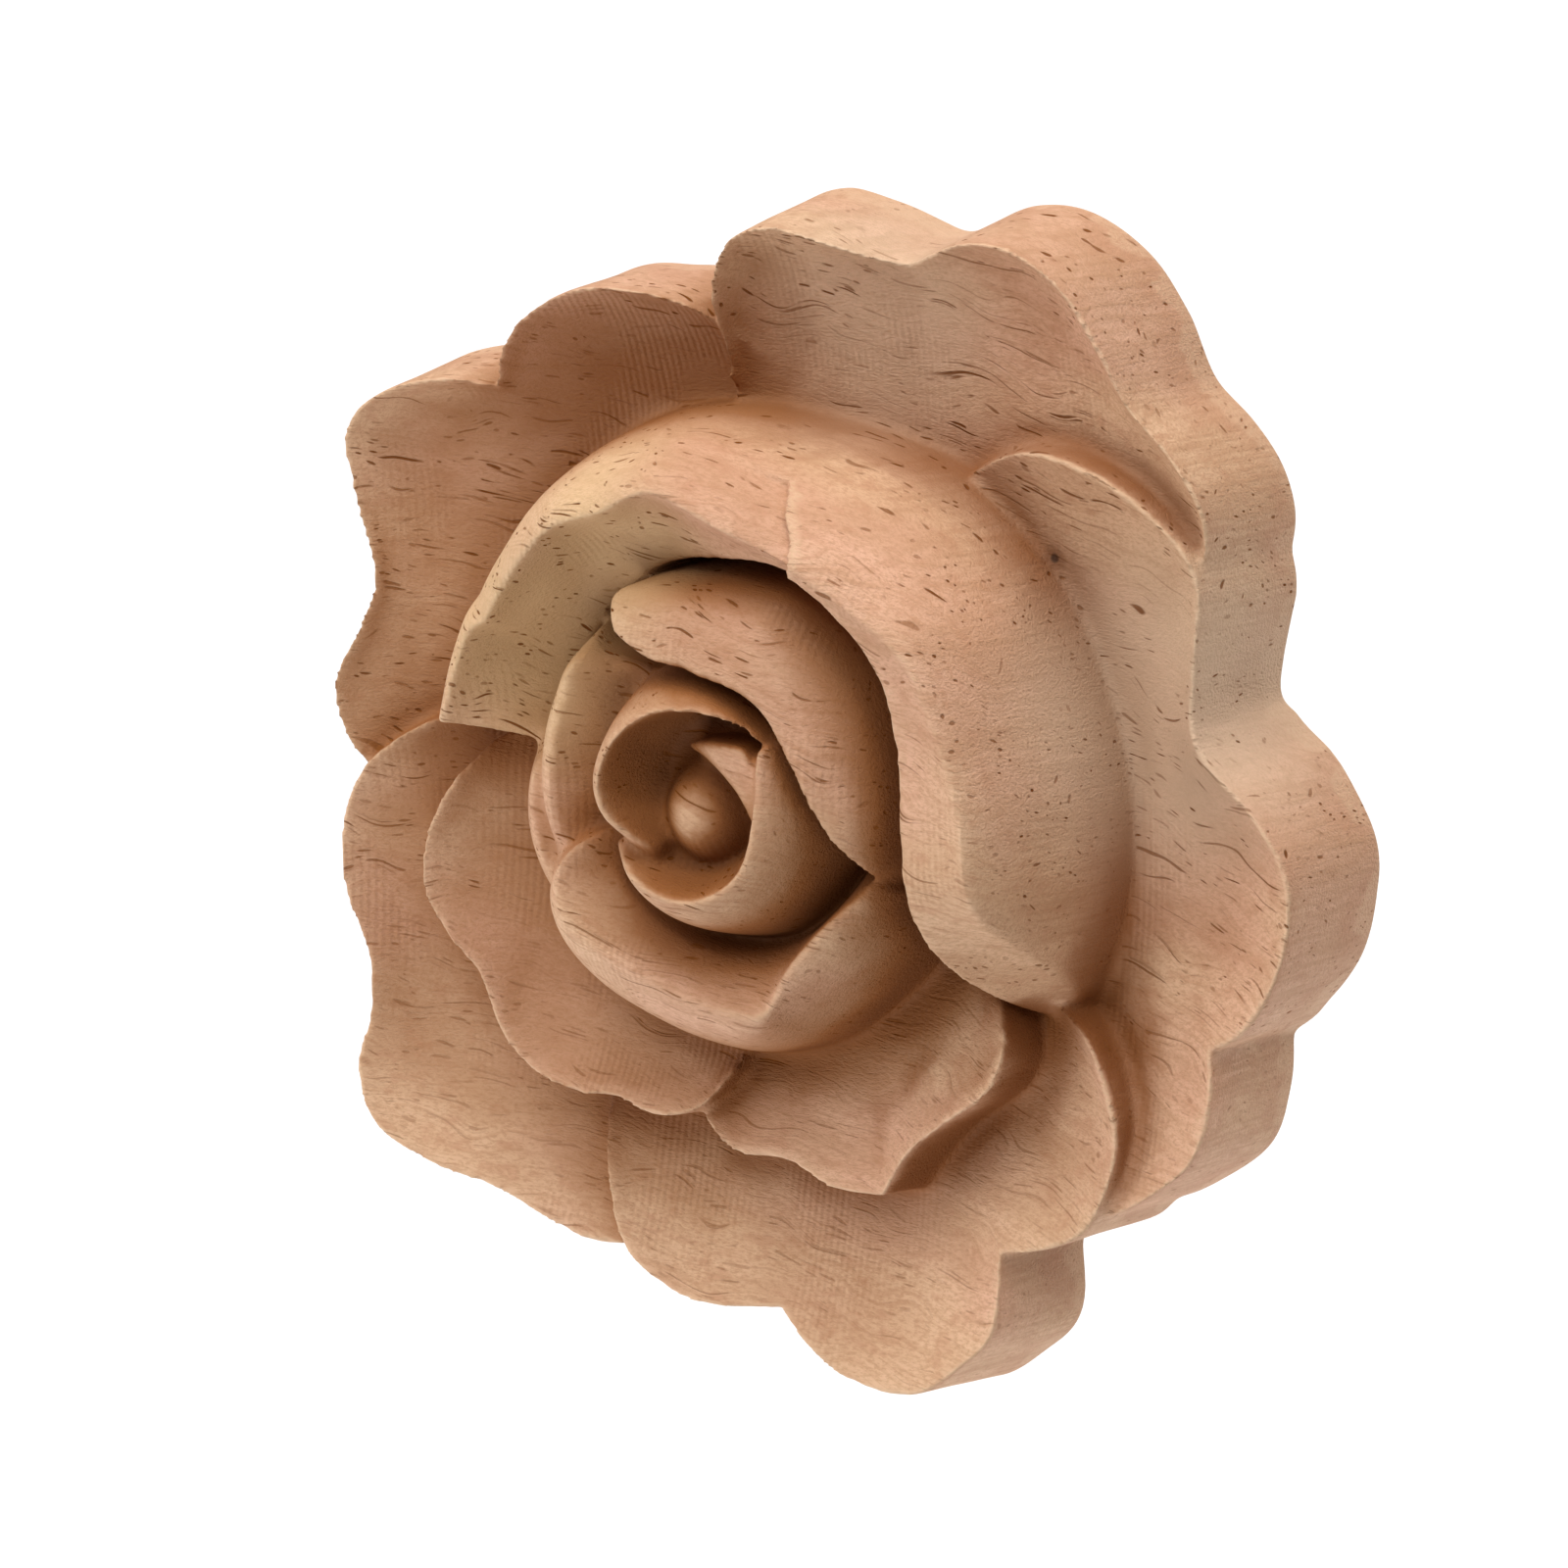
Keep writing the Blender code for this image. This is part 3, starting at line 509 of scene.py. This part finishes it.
def shelter():
    """The share of the open air in front of each point that other petals hide."""
    skin = BVHTree.FromPolygons(places.tolist(), [tuple(face.vertices) for face in rose.data.polygons])
    looks = []
    for index in range(SHELTER_LOOKS):
        rise = 1 - 2 * (index + 0.5) / SHELTER_LOOKS
        swing = index * pi * (3 - 5 ** 0.5)
        level = (1 - rise * rise) ** 0.5
        looks.append(Vector((level * cos(swing), level * sin(swing), rise)))
    shares = np.zeros(len(places))
    for index, (spot, normal) in enumerate(zip(places.tolist(), normals.tolist())):
        normal = Vector(normal)
        start = Vector(spot) + normal * 0.05 * MM
        seen = [look for look in looks if look.dot(normal) > 0.2]
        hidden = sum(skin.ray_cast(start, look, SHELTER_REACH)[0] is not None for look in seen)
        shares[index] = hidden / max(len(seen), 1)
    return shares


crest = np.clip(-hollowness(CREST_ROUNDS, CREST_RISE), 0, 1)
valley = np.clip(hollowness(VALLEY_LINE_ROUNDS, VALLEY_DEPTH), 0, 1)
rim_band = np.clip(-hollowness(RIM_BAND_ROUNDS, RIM_BAND_RISE), 0, 1)
cover = shelter()
for turn_count in range(3):
    cover = neighbour_mean(cover[:, None].repeat(3, 1), ends)[:, 0]
marks = rose.data.color_attributes.new("marks", "FLOAT_COLOR", "POINT")
marks.data.foreach_set("color", np.stack([crest, valley, cover, rim_band], 1).astype(np.float32).ravel())

# The wood is a pale, open-pored hardwood left raw. Its grain runs from side to side: growth
# layers, fibres and the long open pores all follow X, so a pore is a dash on the front and a dot
# where the cut crosses the grain. All measures are in millimetres.
finish = bpy.data.materials.new("carved_wood")
finish.use_nodes = True
tree = finish.node_tree
shader = tree.nodes["Principled BSDF"]


def node(kind, inputs, **settings):
    """Adds a shader node. An input is a number, a colour or the socket that feeds it."""
    made = tree.nodes.new("ShaderNode" + kind)
    for name, value in settings.items():
        setattr(made, name, value)
    for name, value in inputs.items():
        if isinstance(value, bpy.types.NodeSocket):
            tree.links.new(value, made.inputs[name])
        else:
            made.inputs[name].default_value = value
    return made


def reckon(operation, *values):
    """One step of arithmetic on sockets or numbers."""
    return node("Math", dict(enumerate(values)), operation=operation).outputs[0]


def ramp(value, low, high, floor=0.0, ceiling=1.0):
    """The value's share of the way from low to high, kept inside them and eased at both ends."""
    return node("MapRange", {"Value": value, "From Min": low, "From Max": high, "To Min": floor,
                             "To Max": ceiling}, interpolation_type="SMOOTHSTEP").outputs[0]


def tone(under, over, share, blend="MIX"):
    """Lays one colour over another by a share."""
    made = node("Mix", {0: share, 6: under, 7: over}, data_type="RGBA", blend_type=blend)
    return made.outputs[2]


def scaled(vector, stretch, shift=(0, 0, 0)):
    """The place, stretched by its three shares."""
    return node("Mapping", {"Vector": vector, "Scale": stretch, "Location": shift}).outputs[0]


def cloud(vector, scale=1.0, detail=2.0, rough=0.5):
    """Soft noise, around 0.5."""
    inputs = {"Vector": vector, "Scale": scale, "Detail": detail, "Roughness": rough}
    return node("TexNoise", inputs).outputs[0]


coords = node("TexCoord", {})
spot = scaled(coords.outputs["Object"], (1000, 1000, 1000))
facing = node("SeparateXYZ", {0: coords.outputs["Normal"]}).outputs
crossing = reckon("POWER", reckon("ABSOLUTE", facing[0]), 2.0)
marked = node("Attribute", {}, attribute_name="marks").outputs
crest_share, valley_share, cover_share = node("SeparateColor", {0: marked["Color"]}).outputs
band_share = marked["Alpha"]
fronting = reckon("MULTIPLY", facing[1], -1.0)

# Growth layers wander a little, and lie on edge to the face.
wander = node("TexNoise", {"Vector": scaled(spot, (0.03, 0.05, 0.05)), "Detail": 1.0}).outputs["Color"]
wander = node("VectorMath", {0: wander, 1: (0.5, 0.5, 0.5)}, operation="SUBTRACT").outputs[0]
wander = node("VectorMath", {0: wander, "Scale": 3.5}, operation="SCALE").outputs[0]
grain = node("VectorMath", {0: spot, 1: wander}, operation="ADD").outputs[0]
plan_x, _, plan_z = node("SeparateXYZ", {0: spot}).outputs
fall = reckon("MULTIPLY", reckon("MULTIPLY_ADD", plan_x, 0.0015, 0.155), plan_x)
sunk = node("CombineXYZ", {2: fall}).outputs[0]
grain = node("VectorMath", {0: grain, 1: sunk}, operation="ADD").outputs[0]

broad = cloud(scaled(spot, (0.035, 0.07, 0.07)), detail=2.0)
layers = cloud(scaled(grain, (0.012, 0.05, 0.30)), detail=1.0, rough=0.5)
lines = cloud(scaled(grain, (0.05, 0.35, 3.4)), detail=2.0, rough=0.65)
saw_lines = cloud(scaled(spot, (0.3, 0.12, 2.6), (5, 5, 5)), detail=2.0, rough=0.7)
fuzz = cloud(scaled(spot, (1.8, 5.5, 5.5)), detail=2.0, rough=0.75)
mottle = cloud(scaled(spot, (0.5, 1.0, 1.0), (3, 8, 1)), detail=2.0, rough=0.6)

TAN = (0.72, 0.452, 0.276, 1)
PINK = (0.72, 0.408, 0.268, 1)
LAYER_DARK = (0.48, 0.250, 0.126, 1)
CREAM = (0.80, 0.55, 0.35, 1)
PAINTED_SHADE_BROWN = (0.29, 0.090, 0.013, 1)
HONEY = (0.66, 0.36, 0.13, 1)
DEEP_SHADE = (0.14, 0.040, 0.005, 1)
SHADE = (0.34, 0.17, 0.10, 1)
PORE_BROWN = (0.17, 0.050, 0.010, 1)
MOTTLE = (0.50, 0.235, 0.125, 1)

wood = tone(TAN, PINK, ramp(broad, 0.40, 0.60))
wood = tone(wood, LAYER_DARK, reckon("MULTIPLY", ramp(layers, 0.38, 0.75), 0.45))
wood = tone(wood, LAYER_DARK, reckon("MULTIPLY", ramp(lines, 0.42, 0.72), 0.42))
walls = ramp(fronting, 0.45, 0.15)
saw_share = reckon("MULTIPLY", reckon("MULTIPLY", ramp(saw_lines, 0.42, 0.66), walls), 0.55)
wood = tone(wood, LAYER_DARK, saw_share)
wood = tone(wood, MOTTLE, reckon("MULTIPLY", ramp(mottle, 0.48, 0.72), 0.45))
wood = tone(wood, LAYER_DARK, reckon("MULTIPLY", ramp(fuzz, 0.42, 0.66), 0.55))
wood = tone(wood, LAYER_DARK, reckon("MULTIPLY", crossing, 0.20))
# Cream on the crests: partly the pale torn fibres, partly a painted highlight along the edges. The broad
# cream band along each crest on the front faces is painted highlight.
torn = reckon("MULTIPLY", ramp(crest_share, 0.50, 1.0), ramp(fuzz, 0.35, 0.62, 0.15, 0.60))
wood = tone(wood, CREAM, torn)
rim_highlight_band = reckon("MULTIPLY", ramp(band_share, 0.15, 0.9), ramp(fronting, 0.45, 0.8))
wood = tone(wood, CREAM, reckon("MULTIPLY", rim_highlight_band, ramp(lines, 0.62, 0.42, 0.0, 0.2)))
wood = tone(wood, MOTTLE, reckon("MULTIPLY", reckon("MULTIPLY", ramp(band_share, 0.2, 0.9), walls), 0.35))
# Painted shade: darker brown along the valleys, and greyer, then darker brown, the more the petals shelter a
# point.
wood = tone(wood, PAINTED_SHADE_BROWN, reckon("MULTIPLY", ramp(valley_share, 0.05, 1.0), 0.60))
wood = tone(wood, SHADE, ramp(cover_share, 0.22, 0.55, 0.0, 0.45))
wood = tone(wood, PAINTED_SHADE_BROWN, ramp(cover_share, 0.27, 0.60, 0.0, 0.85))

# Painted shade, warm and dark brown, is strongest in the bud and just below it, and on the left side, and
# grows with how much the petals shelter a point.
# None of it is on the sawn back.
wood_before_shade_and_patches = wood
from_axis = node("VectorMath", {0: node("CombineXYZ", {0: plan_x, 2: plan_z}).outputs[0]},
                 operation="LENGTH").outputs["Value"]
in_bud = ramp(reckon("MULTIPLY_ADD", plan_z, 0.2, from_axis), 19.5, 15.5)
on_left = ramp(plan_x, 4.0, -14.0)
below = reckon("MULTIPLY", ramp(plan_z, 0.0, -12.0), ramp(plan_x, 18.0, 6.0, 0.70, 1.0))
# Painted warm shade: the sheltered parts of the bud and the left side turn warmer, as light bounced between
# the petals would make them.
wood = tone(wood, HONEY, reckon("MULTIPLY", reckon("MAXIMUM", in_bud, on_left),
                                ramp(cover_share, 0.05, 0.40, 0.0, 0.30)))
# Painted shade, darker brown, in the sheltered parts of the bud, the left side and below the bud; the bud
# also darkens towards its axis.
bud_shade = reckon("MULTIPLY", in_bud, ramp(cover_share, -0.08, 0.42, 0.0, 0.92))
bud_shade = reckon("MAXIMUM", bud_shade, ramp(from_axis, 14.0, 11.0, 0.0, 0.24))
left_shade = reckon("MULTIPLY", on_left, ramp(cover_share, -0.03, 0.50, 0.0, 0.82))
low_shade = reckon("MULTIPLY", below, ramp(cover_share, 0.18, 0.47, 0.0, 0.85))
wood = tone(wood, SHADE, reckon("MULTIPLY", on_left, ramp(cover_share, 0.10, 0.40, 0.0, 0.25)))
wood = tone(wood, PAINTED_SHADE_BROWN, reckon("MAXIMUM", reckon("MAXIMUM", bud_shade, left_shade), low_shade))
# Painted deep shade in the most sheltered hollows of the bud and below it.
wood = tone(wood, DEEP_SHADE, reckon("MULTIPLY", reckon("MAXIMUM", in_bud, below),
                               ramp(cover_share, 0.30, 0.62, 0.0, 0.65)))


# Patches laid over the colour: yellower and lighter in the cove of the big petal, partly the wood's own tone
# and partly painted light that lifts the painted shade there; painted shade, browner, in the middle of the
# left petals and in a few other places; and greyer in the dishes on the right, the block's own colour. Each
# patch has a place, a reach, a colour and a share.
YELLOW = (0.68, 0.47, 0.23, 1)
GREY_BEIGE = (0.66, 0.48, 0.33, 1)
PATCHES = [
    ((-18.5, -14.0, 9.0), 13.0, YELLOW, 0.50),
    ((-8.0, -16.5, 17.0), 9.0, YELLOW, 0.45),
    ((-20.0, -6.5, 25.0), 9.0, PAINTED_SHADE_BROWN, 0.48),
    ((-31.0, -9.0, 14.6), 8.0, PAINTED_SHADE_BROWN, 0.20),
    ((-21.5, -9.8, -12.0), 8.0, PAINTED_SHADE_BROWN, 0.30),
    ((-34.0, -8.0, -17.0), 10.0, PAINTED_SHADE_BROWN, 0.32),
    ((3.4, -8.0, -33.7), 9.0, PAINTED_SHADE_BROWN, 0.24),
    ((2.0, -20.0, 21.0), 12.0, PAINTED_SHADE_BROWN, 0.15),
    ((6.0, -6.0, 32.0), 12.0, GREY_BEIGE, 0.40),
    ((29.0, -6.8, 8.0), 15.0, GREY_BEIGE, 0.60),
]
for patch_place, patch_reach, colour, patch_share in PATCHES:
    apart = node("VectorMath", {0: spot, 1: patch_place}, operation="DISTANCE").outputs["Value"]
    wood = tone(wood, colour, ramp(apart, patch_reach, patch_reach * 0.3, 0.0, patch_share))
wood = tone(wood_before_shade_and_patches, wood, ramp(fronting, -0.9, -0.5))

grain_x, grain_y, grain_z = node("SeparateXYZ", {0: grain}).outputs


def pores(across, reach, flatness, kept, run, shift):
    """Open pores: long tubes along the grain, each cut open in runs of about this length.

    Across is the room between two tubes, and reach their half width as a share of it. Where the
    cut crosses the grain most of them are closed by torn fibres.
    """
    section = node("CombineXYZ", {0: reckon("MULTIPLY_ADD", grain_z, 1 / across, shift),
                                  1: reckon("MULTIPLY_ADD", grain_y, flatness / across, shift)}).outputs[0]
    tubes = node("TexVoronoi", {"Vector": section, "Scale": 1.0}, voronoi_dimensions="2D")
    chance = node("SeparateColor", {0: tubes.outputs["Color"]}).outputs
    size = ramp(chance[1], 0.0, 1.0, 0.6 * reach, reach)
    depth = reckon("SUBTRACT", size, tubes.outputs["Distance"])
    inside = reckon("MULTIPLY", ramp(depth, 0.0, reach * 0.45), ramp(chance[2], 0.0, 1.0, 0.45, 1.0))
    along = node("CombineXYZ", {0: reckon("DIVIDE", grain_x, run), 1: reckon("MULTIPLY", chance[0], 90.0),
                                2: reckon("MULTIPLY", chance[2], 90.0)}).outputs[0]
    opened = ramp(cloud(along, detail=0.0), 0.49, 0.55)
    share = reckon("MULTIPLY_ADD", crossing, -0.4 * kept, kept)
    return reckon("MULTIPLY", reckon("MULTIPLY", inside, opened), reckon("LESS_THAN", chance[0], share))


short_pores = pores(across=0.42, reach=0.30, flatness=0.60, kept=0.75, run=2.2, shift=0.0)
long_pores = pores(across=0.40, reach=0.26, flatness=0.18, kept=0.70, run=8.0, shift=5.3)
long_pores = reckon("MULTIPLY", long_pores, ramp(fronting, 0.60, 0.85))
patchy = ramp(cloud(scaled(grain, (0.03, 0.12, 0.20), (9, 4, 2)), detail=1.0), 0.38, 0.54, 0.40, 1.0)
patchy = reckon("MULTIPLY", patchy, ramp(plan_z, -22.0, 2.0, 0.45, 1.0))
open_pores = reckon("MULTIPLY", reckon("MAXIMUM", short_pores, long_pores), patchy)
wood = tone(wood, PORE_BROWN, reckon("MULTIPLY", open_pores, 0.95))

# A small dark knot lies in the valley beside the big petal.
KNOT_PLACE = (19.8, -6.1, 16.9)
KNOT_SIZE = 0.42
KNOT_DARK = (0.02, 0.006, 0.002, 1)
knot = node("VectorMath", {0: spot, 1: KNOT_PLACE}, operation="DISTANCE").outputs["Value"]
wood = tone(wood, PORE_BROWN, ramp(knot, KNOT_SIZE * 3, KNOT_SIZE, 0.0, 0.45))
wood = tone(wood, KNOT_DARK, ramp(knot, KNOT_SIZE, KNOT_SIZE * 0.5, 0.0, 0.75))

# The small cutter leaves fine ridges across the grain here and there on the faces that look
# forward. Heights are in millimetres.
RIDGE_HEIGHT = 0.035
FIBRE_HEIGHT = 0.05
FUZZ_HEIGHT = 0.10
PORE_DEPTH = 0.08
SAW_HEIGHT = 0.08
ROUGHNESS = 0.68
SHEEN = 0.35
ridges = node("TexWave", {"Vector": spot, "Scale": 0.60, "Distortion": 1.0, "Detail": 1.0,
                          "Detail Scale": 0.4}, wave_type="BANDS", bands_direction="X").outputs["Fac"]
ridge_places = ramp(cloud(scaled(spot, (0.11, 0.11, 0.11), (2, 7, 5)), detail=1.0), 0.46, 0.60)
ridge_places = reckon("MULTIPLY", ridge_places, ramp(fronting, 0.40, 0.7))
ridge_height = reckon("MULTIPLY", reckon("MULTIPLY", ridges, ridge_places), RIDGE_HEIGHT)
fibre_height = reckon("MULTIPLY", lines, FIBRE_HEIGHT)
fuzz_height = reckon("MULTIPLY", fuzz, reckon("MULTIPLY_ADD", crossing, FUZZ_HEIGHT, FUZZ_HEIGHT))
pore_height = reckon("MULTIPLY", open_pores, -PORE_DEPTH)
saw_height = reckon("MULTIPLY", reckon("MULTIPLY", saw_lines, walls), SAW_HEIGHT)
height = reckon("ADD", reckon("ADD", ridge_height, fibre_height), reckon("ADD", fuzz_height, pore_height))
height = reckon("ADD", height, saw_height)
relief = node("Bump", {"Strength": 1.0, "Distance": MM, "Height": height})

tree.links.new(wood, shader.inputs["Base Color"])
tree.links.new(relief.outputs[0], shader.inputs["Normal"])
shader.inputs["Roughness"].default_value = ROUGHNESS
tree.links.new(ramp(open_pores, 0.0, 0.6, SHEEN, 0.0), shader.inputs["Specular IOR Level"])
rose.data.materials.append(finish)
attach(rose, "root")
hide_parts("rose")

# A plain pale floor far below the flower, which hangs by its back.
FLOOR_DROP = 0.5
FLOOR_REACH = 12
floor_maker = bmesh.new()
bmesh.ops.create_grid(floor_maker, x_segments=1, y_segments=1, size=FLOOR_REACH)
bmesh.ops.translate(floor_maker, verts=floor_maker.verts[:], vec=(0, 0, -FLOOR_DROP))
floor_mesh = bpy.data.meshes.new("floor")
floor_maker.to_mesh(floor_mesh)
floor_maker.free()
floor = bpy.data.objects.new("floor", floor_mesh)
bpy.context.scene.collection.objects.link(floor)
pale = bpy.data.materials.new("pale_floor")
pale.use_nodes = True
pale.node_tree.nodes["Principled BSDF"].inputs["Base Color"].default_value = (0.9, 0.9, 0.9, 1)
floor_mesh.materials.append(pale)
floor.visible_diffuse = False
floor.visible_glossy = False

# Soft studio light: wide windows at the left and overhead, and soft boxes low at the left and
# behind, so that the hollows and the sides that face the camera stay in their own shade.
world = bpy.data.worlds.new("studio")
bpy.context.scene.world = world
world.use_nodes = True
world.node_tree.nodes["Background"].inputs["Color"].default_value = (1, 1, 1, 1)
world.node_tree.nodes["Background"].inputs["Strength"].default_value = 0.15


def studio_light(name, light, swing, rise, distance):
    """Hangs a light so far from the flower, swing degrees round from the front and rise degrees up."""
    round_turn = radians(swing)
    level = cos(radians(rise))
    away = Vector((sin(round_turn) * level, -cos(round_turn) * level, sin(radians(rise))))
    lamp = bpy.data.objects.new(name, light)
    lamp.location = away * distance
    lamp.rotation_euler = away.to_track_quat("Z", "Y").to_euler()
    bpy.context.scene.collection.objects.link(lamp)


WINDOW_SPREAD = radians(50)
BOX_DISTANCE = 0.4
BOX_SIZE = 0.3


def window(name, swing, rise, strength):
    """A wide soft window of light, far away."""
    light = bpy.data.lights.new(name, "SUN")
    light.energy = strength
    light.angle = WINDOW_SPREAD
    studio_light(name, light, swing, rise, 1.0)


def soft_box(name, swing, rise, strength):
    """A square soft box near the flower, which gives it as much light as a window of that strength."""
    light = bpy.data.lights.new(name, "AREA")
    light.shape = "SQUARE"
    light.size = BOX_SIZE
    light.energy = strength * pi * BOX_DISTANCE * BOX_DISTANCE
    studio_light(name, light, swing, rise, BOX_DISTANCE)


window("high_front_left_window", -32, 52, 1.25)
window("high_front_right_window", 30, 52, 0.95)
window("high_right_window", 90, 45, 1.1)
window("high_left_window", -110, 50, 0.6)
window("roof_window", 0, 88, 0.85)
window("left_window", -62, 3, 0.92)
soft_box("left_box", -70, -20, 0.7)
soft_box("back_right_box", 150, -5, 1.5)
soft_box("low_left_box", -95, -50, 1.5)
soft_box("low_back_box", 165, -50, 1.6)
soft_box("low_front_box", 10, -50, 1.5)
bpy.context.scene.view_settings.view_transform = "Standard"
